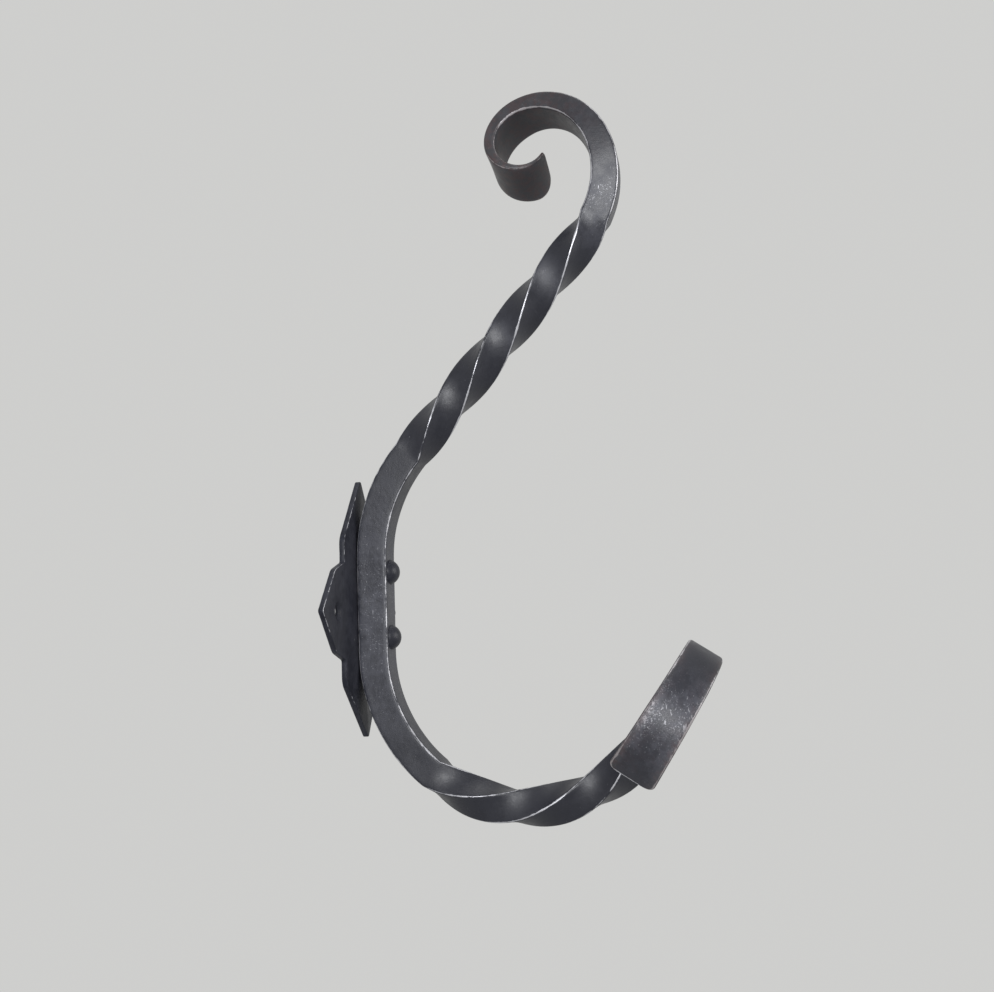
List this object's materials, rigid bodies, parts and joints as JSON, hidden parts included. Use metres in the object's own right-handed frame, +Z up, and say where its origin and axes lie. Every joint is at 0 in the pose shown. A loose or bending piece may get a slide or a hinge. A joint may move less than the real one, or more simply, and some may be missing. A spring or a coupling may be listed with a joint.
{
  "type": "coat hook",
  "caption": "Forged square-bar wall hook: twisted arms, a scroll above, an open curl below, riveted to a pointed screw plate.",
  "frame": {"origin": "centre of the plate's back face, midway between the screw holes", "axes": "+Z up, +Y into the wall, the hook reaches out along -Y, +X to the right for someone who faces the wall"},
  "size_m": [0.0871, 0.1208, 0.2352],
  "materials": {
    "bar": "blackened forged iron, satin, worn bright along the edges",
    "plate": "blackened iron sheet, satin, worn along the edges",
    "rivets": "blackened iron, satin"
  },
  "bodies": {
    "root": {"hook_bar": "bar", "back_plate": "plate", "upper_rivet": "rivets", "lower_rivet": "rivets"}
  },
  "joints": []
}
